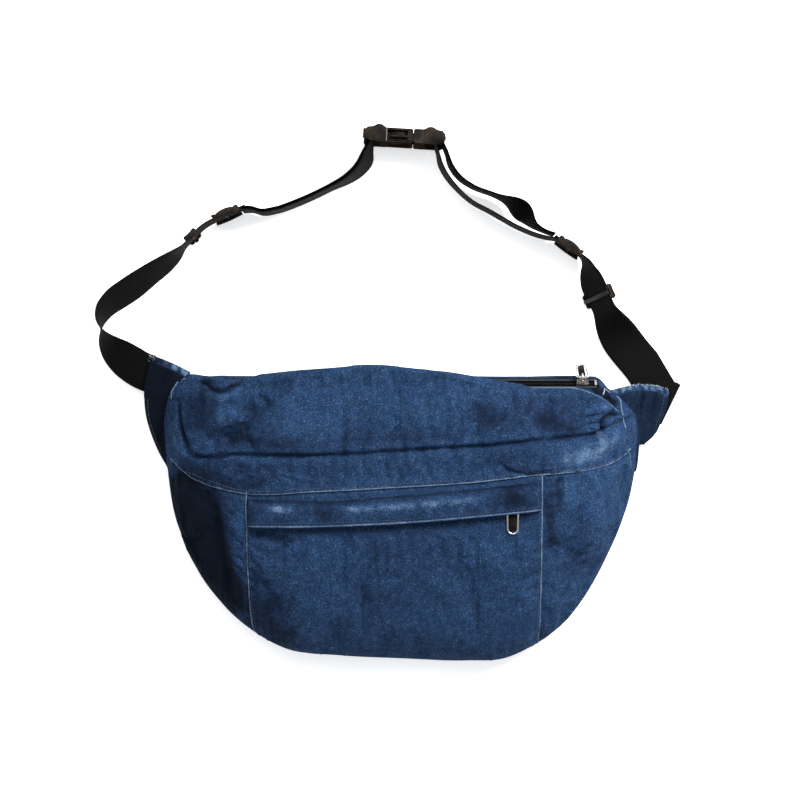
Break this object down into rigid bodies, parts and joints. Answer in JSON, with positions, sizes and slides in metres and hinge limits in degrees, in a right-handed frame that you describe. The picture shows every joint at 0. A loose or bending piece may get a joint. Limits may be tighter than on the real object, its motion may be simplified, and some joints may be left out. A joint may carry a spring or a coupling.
{
  "type": "waist pack",
  "caption": "Crescent denim waist pack with a zipped top opening, a zipped front pocket under a welt, and a webbing belt with a side-release buckle.",
  "frame": {"origin": "centre of the flat back panel, which lies on the surface", "axes": "+X along the pack towards the closed end of the zip, +Y from the bottom of the pack to its strap, +Z out of the front of the pack"},
  "size_m": [0.5579, 0.5031, 0.095],
  "materials": {
    "denim": "indigo denim, garment washed",
    "lining_cloth": "plain woven polyester",
    "zip_tape": "knitted tape",
    "zip_coil": "nylon coil",
    "zip_metal": "plated zinc",
    "pull_wire": "polished wire",
    "webbing": "ribbed nylon webbing",
    "buckle_plastic": "moulded acetal"
  },
  "bodies": {
    "pack": {"back_panel": "denim", "front_centre_panel": "denim", "front_side_panel_left": "denim", "front_side_panel_right": "denim", "yoke_panel": "denim", "top_back_panel": "denim", "left_wing": "denim", "right_wing": "denim", "pocket_welt": "denim", "main_lining": "lining_cloth", "pocket_lining": "lining_cloth", "main_zip_tape_back": "zip_tape", "main_zip_tape_front": "zip_tape", "pocket_zip_tape_upper": "zip_tape", "pocket_zip_tape_lower": "zip_tape", "main_zip_coil": "zip_coil", "pocket_zip_coil": "zip_coil", "main_zip_stops": "zip_metal", "pocket_zip_stops": "zip_metal", "left_webbing": "webbing", "left_webbing_loop": "webbing", "right_webbing_anchor": "webbing", "female_buckle_body": "buckle_plastic"},
    "main_slider": {"main_zip_slider": "zip_metal"},
    "main_ring": {"main_pull_ring": "pull_wire"},
    "main_loop": {"main_pull_loop": "pull_wire"},
    "pocket_slider": {"pocket_zip_slider": "zip_metal"},
    "pocket_loop": {"pocket_pull_loop": "pull_wire"},
    "left_triglide": {"left_triglide": "buckle_plastic"},
    "left_keeper": {"left_keeper": "buckle_plastic"},
    "right_strap": {"right_webbing": "webbing", "right_webbing_loop": "webbing", "male_buckle_body": "buckle_plastic"},
    "right_triglide": {"right_triglide": "buckle_plastic"},
    "right_keeper": {"right_keeper": "buckle_plastic"},
    "latch_upper": {"latch_arm_upper": "buckle_plastic"},
    "latch_lower": {"latch_arm_lower": "buckle_plastic"}
  },
  "joints": [
    {"name": "main_zip_slide", "type": "slide", "parent": "pack", "child": "main_slider", "axis": [1, 0, 0], "range_m": [-0.32, 0]},
    {"name": "main_ring_swing", "type": "hinge", "parent": "main_slider", "child": "main_ring", "pos_m": [0.1675, 0.13155, 0.06055], "axis": [1, 0, 0], "range_deg": [-3, 70]},
    {"name": "main_loop_swing", "type": "hinge", "parent": "main_ring", "child": "main_loop", "pos_m": [0.1675, 0.13257, 0.05854], "axis": [1, 0, 0], "range_deg": [-3, 60]},
    {"name": "pocket_zip_slide", "type": "slide", "parent": "pack", "child": "pocket_slider", "axis": [1, 0, 0], "range_m": [-0.18, 0]},
    {"name": "pocket_pull_swing", "type": "hinge", "parent": "pocket_slider", "child": "pocket_loop", "pos_m": [0.101, 0.01368, 0.08779], "axis": [1, 0, 0], "range_deg": [-3, 0]},
    {"name": "left_adjuster_slide", "type": "slide", "parent": "pack", "child": "left_triglide", "axis": [0.9135, 0.4067, 0], "range_m": [-0.003, 0.003]},
    {"name": "left_keeper_slide", "type": "slide", "parent": "pack", "child": "left_keeper", "axis": [0.6947, 0.7193, 0], "range_m": [-0.003, 0.003]},
    {"name": "buckle_release", "type": "slide", "parent": "pack", "child": "right_strap", "axis": [0.9981, -0.061, 0], "range_m": [0, 0.04]},
    {"name": "latch_upper_squeeze", "type": "hinge", "parent": "right_strap", "child": "latch_upper", "pos_m": [0.01378, 0.35824, 0.0385], "axis": [0.061, 0.9981, 0], "range_deg": [-8, 0], "stiffness_Nm_per_rad": 0.3},
    {"name": "latch_lower_squeeze", "type": "hinge", "parent": "right_strap", "child": "latch_lower", "pos_m": [0.01378, 0.35824, 0.0075], "axis": [0.061, 0.9981, 0], "range_deg": [0, 8], "stiffness_Nm_per_rad": 0.3},
    {"name": "right_adjuster_slide", "type": "slide", "parent": "right_strap", "child": "right_triglide", "axis": [0.809, -0.5878, 0], "range_m": [-0.003, 0.003]},
    {"name": "right_keeper_slide", "type": "slide", "parent": "right_strap", "child": "right_keeper", "axis": [0.4074, -0.9133, 0], "range_m": [-0.004, 0.004]}
  ]
}
